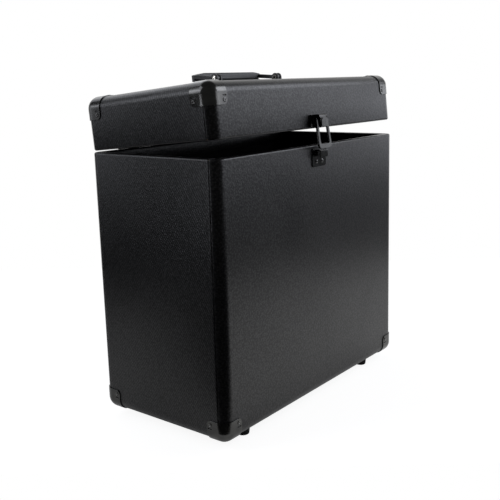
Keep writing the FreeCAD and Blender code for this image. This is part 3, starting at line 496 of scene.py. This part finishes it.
# Guards, hinges, latch and handle fittings: pressed parts with eased edges
easing = {
    "guard": 0.3 * mm,
    "hinge": 0.25 * mm,
    "hingePin": 0.2 * mm,
    "bracket": 0.3 * mm,
    "strap": 0.7 * mm,
    "grip": 1.2 * mm,
    "gripAngle": 25,          # degrees from which an edge of the grip is rounded
    "foot": 0.7 * mm,
    "latch": 0.25 * mm,
    "lever": 0.5 * mm,
    "bail": 0.9 * mm,
}
gripFullness = 1.2            # the moulding is fuller underneath than its CAD block

corners = [(end, side) for end in ("front", "back") for side in ("left", "right")]
for owner, body in (("body", "case_body"), ("lid", "lid")):
    for end, side in corners:
        dressNode(f"{owner}_guard_{end}_{side}", f"{owner}Guard{end.capitalize()}{side.capitalize()}",
                  "guardNickel", body, easing["guard"], 3)
for side in ("left", "right"):
    tag = side.capitalize()
    dressNode(f"hinge_body_leaf_{side}", "hingeBodyLeaf" + tag, "hingeEnamel", "case_body",
              easing["hinge"])
    dressNode(f"hinge_lid_leaf_{side}", "hingeLidLeaf" + tag, "hingeEnamel", "lid",
              easing["hinge"])
    dressNode(f"hinge_pin_{side}", "hingePin" + tag, "hingeEnamel", "case_body",
              easing["hingePin"])
    dressNode(f"handle_bracket_{side}", "handleBracket" + tag, "hingeEnamel", "lid",
              easing["bracket"])
    dressNode(f"handle_arm_{side}", "handleArm" + tag, "strapEnamel", "handle",
              easing["strap"], 3)
handleGrip = dressNode("handle_grip", "handleGrip", "gripPlastic", "handle",
                       easing["grip"], 3, easing["gripAngle"])
gripTop = Vector((0, 0, shutBox("handle_grip")[1].z))
deepen = (Matrix.Translation(gripTop) @ Matrix.Diagonal((1, 1, gripFullness, 1))
          @ Matrix.Translation(-gripTop))
handleGrip.data.transform(lidTurn @ deepen @ lidTurn.inverted())
for end, side in corners:
    dressNode(f"foot_{end}_{side}", f"foot{end.capitalize()}{side.capitalize()}", "footRubber",
              "case_body", easing["foot"], 3)
dressNode("keeper", "keeperPlate", "latchNickel", "case_body", easing["latch"])
dressNode("latch_base", "latchBase", "latchNickel", "lid", easing["latch"])
dressNode("latch_lever", "latchLever", "latchNickel", "latch_lever", easing["lever"], 3)
dressNode("latch_bail", "latchBail", "latchNickel", "latch_bail", easing["bail"], 4)
dressNode("latch_lever_pin", "latchLeverPin", "latchNickel", "lid", easing["latch"])
print("fittings dressed")

# Nails, screws and rivets: one Geometry Nodes tree for each head, one mesh for each CAD node
nailHead = {
    "headRadius": 2.2 * mm,
    "rimHeight": 0.22 * mm,
    "domeHeight": 0.46 * mm,
    "shankRadius": 0.8 * mm,
    # Dished, with a lip: shares of the radius and of the dome's height
    "profile": ((0.0, 0.0), (0.30, 0.04), (0.46, 0.95), (0.74, 1.0), (1.0, 0.0)),
}
screwHead = {
    "headRadius": 2.3 * mm,
    "rimHeight": 0.25 * mm,
    "domeHeight": 0.72 * mm,
    "shankRadius": 1.2 * mm,
    "slotWidth": 0.55 * mm,
    "slotDepth": 0.5 * mm,
    "profile": ((0.0, 1.0), (0.4, 0.86), (0.75, 0.46), (1.0, 0.0)),
}
rivetHead = {
    "headRadius": 2.9 * mm,
    "rimHeight": 0.3 * mm,
    "domeHeight": 1.05 * mm,
    "shankRadius": 1.5 * mm,
    "tailRadius": 3.0 * mm,
    "tailHeight": 0.75 * mm,
    "profile": ((0.0, 1.0), (0.4, 0.87), (0.75, 0.5), (1.0, 0.0)),
}
latchScrewHead = dict(screwHead, headRadius=1.7 * mm, domeHeight=0.6 * mm, shankRadius=1.15 * mm)
pinHead = {
    "headRadius": 3.0 * mm,
    "rimHeight": 0.35 * mm,
    "domeHeight": 0.8 * mm,
    "shankRadius": 1.95 * mm,
    "tailRadius": 2.9 * mm,
    "tailHeight": 1.15 * mm,
    "profile": ((0.0, 1.0), (0.4, 0.87), (0.75, 0.5), (1.0, 0.0)),
}


heads = {"sides": 28, "rings": 8, "bladeReach": 2.4}     # the blade's length is in head radii
nearlyWidest = 0.97           # share of a head's radius that counts as its rim


def seatsOf(node, turn, centre):
    # Where each fastener of a node sits, which way its head looks and how long its shank is
    work = bmesh.new()
    work.from_mesh(frame["nodes"][node].data)
    bmesh.ops.remove_doubles(work, verts=work.verts, dist=meshing["weld"])
    work.transform(turn.inverted())
    seats = []
    for first in work.verts:
        if first.tag:
            continue
        first.tag = True
        island = [first]
        for vertex in island:
            for edge in vertex.link_edges:
                other = edge.other_vert(vertex)
                if not other.tag:
                    other.tag = True
                    island.append(other)
        low = Vector([min(vertex.co[i] for vertex in island) for i in range(3)])
        high = Vector([max(vertex.co[i] for vertex in island) for i in range(3)])
        middle = (low + high) / 2
        axis = max(range(3), key=lambda i: high[i] - low[i])
        way = 1 if middle[axis] > centre[axis] else -1
        aim = Vector([way if i == axis else 0 for i in range(3)])
        spans = []
        for vertex in island:
            offset = vertex.co - middle
            reach = offset.dot(aim)
            spans.append((reach, (offset - reach * aim).length))
        widest = max(radius for reach, radius in spans if reach > 0)
        seat = min(reach for reach, radius in spans if reach > 0 and radius > nearlyWidest * widest)
        length = seat - min(reach for reach, radius in spans)
        seats.append((turn @ (middle + aim * seat), (turn.to_3x3() @ aim).normalized(), length))
    work.free()
    return seats


def fastenerTree(name, spec, length):
    # Head, shank and tail about the Z axis, with the seat at zero; a copy stands on each point.
    tree = bpy.data.node_groups.new(name, "GeometryNodeTree")
    tree.interface.new_socket("Seats", in_out="INPUT", socket_type="NodeSocketGeometry")
    sizes = {label: value for label, value in spec.items() if label != "profile"}
    sizes["shankLength"] = length
    for label in sizes:
        tree.interface.new_socket(label, in_out="INPUT", socket_type="NodeSocketFloat")
    tree.interface.new_socket("material", in_out="INPUT", socket_type="NodeSocketMaterial")
    tree.interface.new_socket("Fasteners", in_out="OUTPUT", socket_type="NodeSocketGeometry")
    given = tree.nodes.new("NodeGroupInput").outputs

    def disc(radius, depth, middle, rings=1):
        # A closed cylinder about the point of the axis at height middle
        shape = addNode(tree, "GeometryNodeMeshCylinder",
                        {"Vertices": heads["sides"], "Side Segments": 1, "Fill Segments": rings,
                         "Radius": radius, "Depth": depth}, fill_type="TRIANGLE_FAN")
        lift = addNode(tree, "ShaderNodeCombineXYZ", {"Z": middle})
        return addNode(tree, "GeometryNodeTransform", {"Geometry": shape, "Translation": lift})

    # Head: its height follows the profile from the middle to the rim
    place = addNode(tree, "GeometryNodeInputPosition")
    flat = addNode(tree, "ShaderNodeVectorMath", {0: place, 1: (1, 1, 0)}, operation="MULTIPLY")
    across = addNode(tree, "ShaderNodeVectorMath", {0: flat}, operation="LENGTH")
    share = addNode(tree, "ShaderNodeMath", {0: across.outputs["Value"], 1: given["headRadius"]},
                    operation="DIVIDE")
    profile = addNode(tree, "ShaderNodeFloatCurve", {"Value": share})
    points = profile.mapping.curves[0].points
    while len(points) < len(spec["profile"]):
        points.new(0.5, 0.5)
    for point, (x, y) in zip(points, spec["profile"]):
        point.location = (x, y)
    profile.mapping.update()
    halfRim = addNode(tree, "ShaderNodeMath", {0: given["rimHeight"], 1: 0.5}, operation="MULTIPLY")
    height = addNode(tree, "ShaderNodeSeparateXYZ", {0: place})
    onTop = addNode(tree, "ShaderNodeMath", {0: height.outputs["Z"], 1: halfRim},
                    operation="GREATER_THAN")
    dome = addNode(tree, "ShaderNodeMath", {0: profile, 1: given["domeHeight"]}, operation="MULTIPLY")
    rise = addNode(tree, "ShaderNodeMath", {0: dome, 1: onTop}, operation="MULTIPLY")
    blank = disc(given["headRadius"], given["rimHeight"], halfRim, heads["rings"])
    head = addNode(tree, "GeometryNodeSetPosition",
                   {"Geometry": blank, "Offset": addNode(tree, "ShaderNodeCombineXYZ", {"Z": rise})})
    if "slotWidth" in spec:
        # A blade that stands in the top of the head cuts its slot
        reach = addNode(tree, "ShaderNodeMath", {0: given["headRadius"], 1: heads["bladeReach"]},
                        operation="MULTIPLY")
        size = addNode(tree, "ShaderNodeCombineXYZ", {"X": reach, "Y": given["slotWidth"], "Z": reach})
        top = addNode(tree, "ShaderNodeMath", {0: given["rimHeight"], 1: given["domeHeight"]},
                      operation="ADD")
        above = addNode(tree, "ShaderNodeMath", {0: reach, 1: 0.5, 2: top}, operation="MULTIPLY_ADD")
        middle = addNode(tree, "ShaderNodeMath", {0: above, 1: given["slotDepth"]}, operation="SUBTRACT")
        blade = addNode(tree, "GeometryNodeTransform",
                        {"Geometry": addNode(tree, "GeometryNodeMeshCube", {"Size": size}),
                         "Translation": addNode(tree, "ShaderNodeCombineXYZ", {"Z": middle})})
        head = addNode(tree, "GeometryNodeMeshBoolean", {0: head, 1: blade}, operation="DIFFERENCE")
    half = addNode(tree, "ShaderNodeMath", {0: given["shankLength"], 1: -0.5}, operation="MULTIPLY")
    pieces = [head, disc(given["shankRadius"], given["shankLength"], half)]
    if "tailRadius" in spec:
        half = addNode(tree, "ShaderNodeMath", {0: given["tailHeight"], 1: 0.5}, operation="MULTIPLY")
        middle = addNode(tree, "ShaderNodeMath", {0: half, 1: given["shankLength"]},
                         operation="SUBTRACT")
        pieces.append(disc(given["tailRadius"], given["tailHeight"], middle))
    whole = tree.nodes.new("GeometryNodeJoinGeometry")
    for piece in pieces:
        tree.links.new(piece.outputs[0], whole.inputs[0])
    # Each stands on its seat, turned by chance about its own axis
    aim = addNode(tree, "GeometryNodeInputNamedAttribute", {"Name": "aim"}, data_type="FLOAT_VECTOR")
    upright = addNode(tree, "FunctionNodeAlignRotationToVector", {"Vector": aim}, axis="Z")
    chance = addNode(tree, "FunctionNodeRandomValue", {2: 0.0, 3: math.pi, "Seed": 7},
                     data_type="FLOAT")
    spin = addNode(tree, "FunctionNodeAxisAngleToRotation", {"Axis": (0, 0, 1),
                                                             "Angle": chance.outputs[1]})
    turned = addNode(tree, "FunctionNodeRotateRotation", {"Rotation": upright, "Rotate By": spin},
                     rotation_space="LOCAL")
    spread = addNode(tree, "GeometryNodeInstanceOnPoints",
                     {"Points": given["Seats"], "Instance": whole, "Rotation": turned})
    real = addNode(tree, "GeometryNodeRealizeInstances", {"Geometry": spread})
    dressed = addNode(tree, "GeometryNodeSetMaterial", {"Geometry": real, "Material": given["material"]})
    leave = tree.nodes.new("NodeGroupOutput")
    tree.links.new(dressed.outputs[0], leave.inputs[0])
    return tree, sizes


def bakeFasteners(name, node, finish, body, spec, turn, centre):
    material = finishes[finish]
    seats = seatsOf(node, turn, centre)
    carrier = bpy.data.objects.new(name + "Seats", bpy.data.meshes.new(name + "Seats"))
    carrier.data.from_pydata([seat for seat, aim, length in seats], [], [])
    aims = carrier.data.attributes.new("aim", "FLOAT_VECTOR", "POINT")
    for item, (seat, aim, length) in zip(aims.data, seats):
        item.vector = aim
    bpy.context.scene.collection.objects.link(carrier)
    tree, sizes = fastenerTree(name + "Tree", spec, min(length for seat, aim, length in seats))
    modifier = carrier.modifiers.new("fasteners", "NODES")
    modifier.node_group = tree
    for socket in tree.interface.items_tree:
        if socket.item_type == "SOCKET" and socket.in_out == "INPUT" and socket.name != "Seats":
            modifier[socket.identifier] = material if socket.name == "material" else sizes[socket.name]
    bpy.context.view_layer.update()
    graph = bpy.context.evaluated_depsgraph_get()
    mesh = bpy.data.meshes.new_from_object(carrier.evaluated_get(graph), depsgraph=graph)
    mesh.name = name
    bpy.data.objects.remove(carrier)
    newPiece(name, smoothed(mesh, meshing["smoothHead"]), material, body, [node])


caseMiddle = Vector((0, 0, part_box("body_wrap")[1].z / 2))
lidLow, lidHigh = shutBox("lid_wrap")
lidMiddle = (lidLow + lidHigh) / 2
for name, node, finish, body, slotName, spec in (
        ("bodyGuardNails", "body_guard_nails", "nailNickel", "case_body", "guard_nail_steel", nailHead),
        ("lidGuardNails", "lid_guard_nails", "nailNickel", "lid", "guard_nail_steel", nailHead),
        ("hingeBodyScrews", "hinge_body_screws", "screwEnamel", "case_body", "hinge_steel", screwHead),
        ("hingeLidScrews", "hinge_lid_screws", "screwEnamel", "lid", "hinge_steel", screwHead),
        ("keeperScrews", "keeper_screws", "screwEnamel", "case_body", "screw_steel", screwHead),
        ("latchBaseScrews", "latch_base_screws", "screwEnamel", "lid", "screw_steel", latchScrewHead),
        ("footScrews", "foot_screws", "screwEnamel", "case_body", "screw_steel", screwHead),
        ("handleRivets", "handle_rivets", "screwEnamel", "lid", "handle_rivet_steel", rivetHead),
        ("handlePinLeft", "handle_pin_left", "rivetNickel", "lid", "handle_pin_nickel", pinHead),
        ("handlePinRight", "handle_pin_right", "rivetNickel", "lid", "handle_pin_nickel", pinHead)):
    inLid = body == "lid"
    bakeFasteners(name, node, finish, body, spec, lidTurn if inLid else still,
                  lidMiddle if inLid else caseMiddle)
print("fasteners made")

# Boards and linings stay as CAD nodes; a piece stands in for each of the others
nodeFinishes = {"board": "poplarPly", "lining": "liningPaper"}
for node, obj in frame["nodes"].items():
    obj.data.materials.clear()
    obj.data.materials.append(finishes[nodeFinishes.get(node.split("_")[-1], "nailNickel")])

# Camera and stage
camera = {
    "eye": (-0.72095, -0.57115, 0.37864),
    "yaw": 52.36,
    "pitch": -10.99,
    "roll": -1.42,
    "focal": 768.51,
    "centre": (266.83, 226.62),
    "picture": 500.0,
    "sensor": 36.0,
}


def placeCamera(spec):
    yaw, pitch, roll = (math.radians(spec[key]) for key in ("yaw", "pitch", "roll"))
    forward = Vector((math.sin(yaw) * math.cos(pitch), math.cos(yaw) * math.cos(pitch), math.sin(pitch)))
    right = Vector((math.cos(yaw), -math.sin(yaw), 0))
    up = right.cross(forward)
    rolledRight = math.cos(roll) * right + math.sin(roll) * up
    rolledUp = math.cos(roll) * up - math.sin(roll) * right
    data = bpy.data.cameras.new("viewCamera")
    data.sensor_width = spec["sensor"]
    data.lens = spec["focal"] / spec["picture"] * spec["sensor"]
    data.shift_x = (spec["picture"] / 2 - spec["centre"][0]) / spec["picture"]
    data.shift_y = (spec["centre"][1] - spec["picture"] / 2) / spec["picture"]
    view = bpy.data.objects.new("viewCamera", data)
    bpy.context.scene.collection.objects.link(view)
    turned = Matrix((rolledRight, rolledUp, -forward)).transposed()
    view.matrix_world = Matrix.Translation(Vector(spec["eye"])) @ turned.to_4x4()
    bpy.context.scene.camera = view


placeCamera(camera)

studio = {
    "middle": (0.0, 0.0, 0.25),       # the lamps stand round this point and look at it
    "toward": (0.79, 0.61, 0.0),      # the white side of the studio, behind the case
    "white": (0.50, 0.78),            # cosines from that side between which it turns from dim to white
    "dim": 0.115,                     # what gloss sees elsewhere, and less of it below the horizon
    "below": 0.02,
    "horizon": (-0.06, 0.0),          # heights between which it turns dim
    "fill": 0.20,
    "tint": "#f3f6ff",                # cool daylight tubes
    "floor": {
        "colour": "#8a8a8a",
        "roughness": 0.9,
        "right": (0.61, -0.79),       # along the floor, to the right of the picture
        "far": (0.79, 0.61),          # along the floor, away from the camera
        "span": (-0.62, 0.76),
        "depth": (-0.22, 0.62),
        "white": 0.90,                # what the camera sees of it before the lamps add theirs
        "glow": (0.41, 0.91),         # painted light: what gloss sees of it, to the left and to the right of the case
        "turn": (-0.20, 0.06),        # where the one passes into the other, across the picture
        "shade": 0.10,                # how far from the case the painted shade darkens the floor in gloss
    },
    "lamps": {
        # name: (way from the middle, distance, width, height, brightness)
        "keyLow": ((0.74, -0.63, 0.23), 1.8, 0.9, 0.6, 2.05),
        "keyLine": ((0.93, -0.35, 0.06), 1.8, 0.8, 0.3, 1.8),
        "keyHigh": ((0.66, -0.56, 0.50), 1.8, 0.9, 0.6, 5.1),
        "rimLight": ((0.78, -0.19, 0.60), 1.8, 0.9, 0.7, 0.24),
        "frontLow": ((0.45, -0.87, 0.22), 1.8, 0.8, 0.6, 1.9),
        "frontLine": ((0.50, -0.85, 0.05), 1.8, 0.8, 0.3, 0.85),
        "topBack": ((0.15, 0.70, 0.70), 1.6, 1.4, 0.9, 1.19),
        "leftHigh": ((-0.66, 0.45, 0.60), 1.6, 0.8, 0.8, 2.5),
        "leftBack": ((-0.50, 0.85, 0.15), 1.6, 0.7, 0.6, 1.3),
        "leftMiddle": ((-0.74, 0.56, 0.36), 1.6, 0.8, 0.45, 2.7),
        "leftLine": ((-0.94, 0.34, 0.01), 1.6, 0.5, 0.10, 8.5),
        "rightLow": ((0.87, -0.49, -0.10), 1.8, 0.7, 0.3, 0.22),
    },
}


def makeFloor(spec):
    # White floor: to the camera plain white with the shadow on it; in gloss a painted glow, brighter
    # towards the key lamps
    material, tree, shader = newMaterial("stageFloor", spec["colour"], spec["roughness"], specular=0.0)
    right, far = (Vector((*spec[key], 0)).normalized() for key in ("right", "far"))
    across = addNode(tree, "ShaderNodeVectorMath", {0: objectPlace(tree), 1: right},
                     operation="DOT_PRODUCT")
    left, towards = spec["glow"]
    start, stop = spec["turn"]
    # Painted light: in gloss the floor glows, dimmer on the left and brighter on the right
    glow = addNode(tree, "ShaderNodeMapRange", {"Value": across.outputs["Value"], "From Min": start,
                                                "From Max": stop, "To Min": left, "To Max": towards})
    path = addNode(tree, "ShaderNodeLightPath")
    mirrored = addNode(tree, "ShaderNodeMath", {0: path.outputs["Is Glossy Ray"],
                                                1: path.outputs["Is Transmission Ray"]},
                       operation="MAXIMUM")
    # Painted shade: in gloss the floor's glow darkens under the case and close to it
    shade = addNode(tree, "ShaderNodeAmbientOcclusion", {"Distance": spec["shade"]}, samples=8)
    shaded = addNode(tree, "ShaderNodeMath", {0: shade.outputs["AO"], 1: glow}, operation="MULTIPLY")
    inGloss = addNode(tree, "ShaderNodeMath", {0: mirrored, 1: shaded}, operation="MULTIPLY")
    shader.inputs["Emission Color"].default_value = hexColour("#ffffff")
    addNode(tree, "ShaderNodeMath", {0: path.outputs["Is Camera Ray"], 1: spec["white"], 2: inGloss},
            into=shader.inputs["Emission Strength"], operation="MULTIPLY_ADD")
    work = bmesh.new()
    corners = [(spec["span"][i], spec["depth"][j]) for i, j in ((0, 0), (1, 0), (1, 1), (0, 1))]
    work.faces.new([work.verts.new(right * u + far * v) for u, v in corners])
    mesh = bpy.data.meshes.new("stageFloor")
    work.to_mesh(mesh)
    work.free()
    mesh.materials.append(material)
    floor = bpy.data.objects.new("stageFloor", mesh)
    bpy.context.scene.collection.objects.link(floor)


def makeStage(spec):
    makeFloor(spec["floor"])
    world = bpy.data.worlds.new("studioWorld")
    bpy.context.scene.world = world
    world.use_nodes = True
    tree = world.node_tree
    # White for the camera on all sides; gloss sees it white behind the case and dim elsewhere
    coordinate = addNode(tree, "ShaderNodeTexCoord")
    facing = addNode(tree, "ShaderNodeVectorMath", {0: coordinate.outputs["Generated"], 1: spec["toward"]},
                     operation="DOT_PRODUCT")
    height = addNode(tree, "ShaderNodeSeparateXYZ", {0: coordinate.outputs["Generated"]})
    start, stop = spec["horizon"]
    dim = addNode(tree, "ShaderNodeMapRange", {"Value": height.outputs["Z"], "From Min": start,
                                               "From Max": stop, "To Min": spec["below"],
                                               "To Max": spec["dim"]})
    start, stop = spec["white"]
    shown = addNode(tree, "ShaderNodeMapRange", {"Value": facing.outputs["Value"], "From Min": start,
                                                 "From Max": stop, "To Min": dim, "To Max": 1.0},
                    interpolation_type="SMOOTHSTEP")
    path = addNode(tree, "ShaderNodeLightPath")
    mirrored = addNode(tree, "ShaderNodeMath", {0: path.outputs["Is Glossy Ray"],
                                                1: path.outputs["Is Transmission Ray"]},
                       operation="MAXIMUM")
    level = addNode(tree, "ShaderNodeMix", {0: mirrored, 2: spec["fill"], 3: shown})
    background = tree.nodes["Background"]
    background.inputs["Color"].default_value = hexColour("#ffffff")
    addNode(tree, "ShaderNodeMath", {0: path.outputs["Is Camera Ray"], 1: level},
            into=background.inputs["Strength"], operation="MAXIMUM")
    centre = Vector(spec["middle"])
    for name, (way, distance, width, height, brightness) in spec["lamps"].items():
        data = bpy.data.lights.new(name, "AREA")
        data.shape = "RECTANGLE"
        data.size, data.size_y = width, height
        data.energy = brightness * math.pi * width * height
        data.color = hexColour(spec["tint"])[:3]
        lamp = bpy.data.objects.new(name, data)
        lamp.visible_camera = False
        bpy.context.scene.collection.objects.link(lamp)
        lamp.location = centre + Vector(way).normalized() * distance
        lamp.rotation_euler = (centre - lamp.location).to_track_quat("-Z", "Y").to_euler()


makeStage(studio)
bpy.context.scene.view_settings.view_transform = "Standard"
print("stage set")
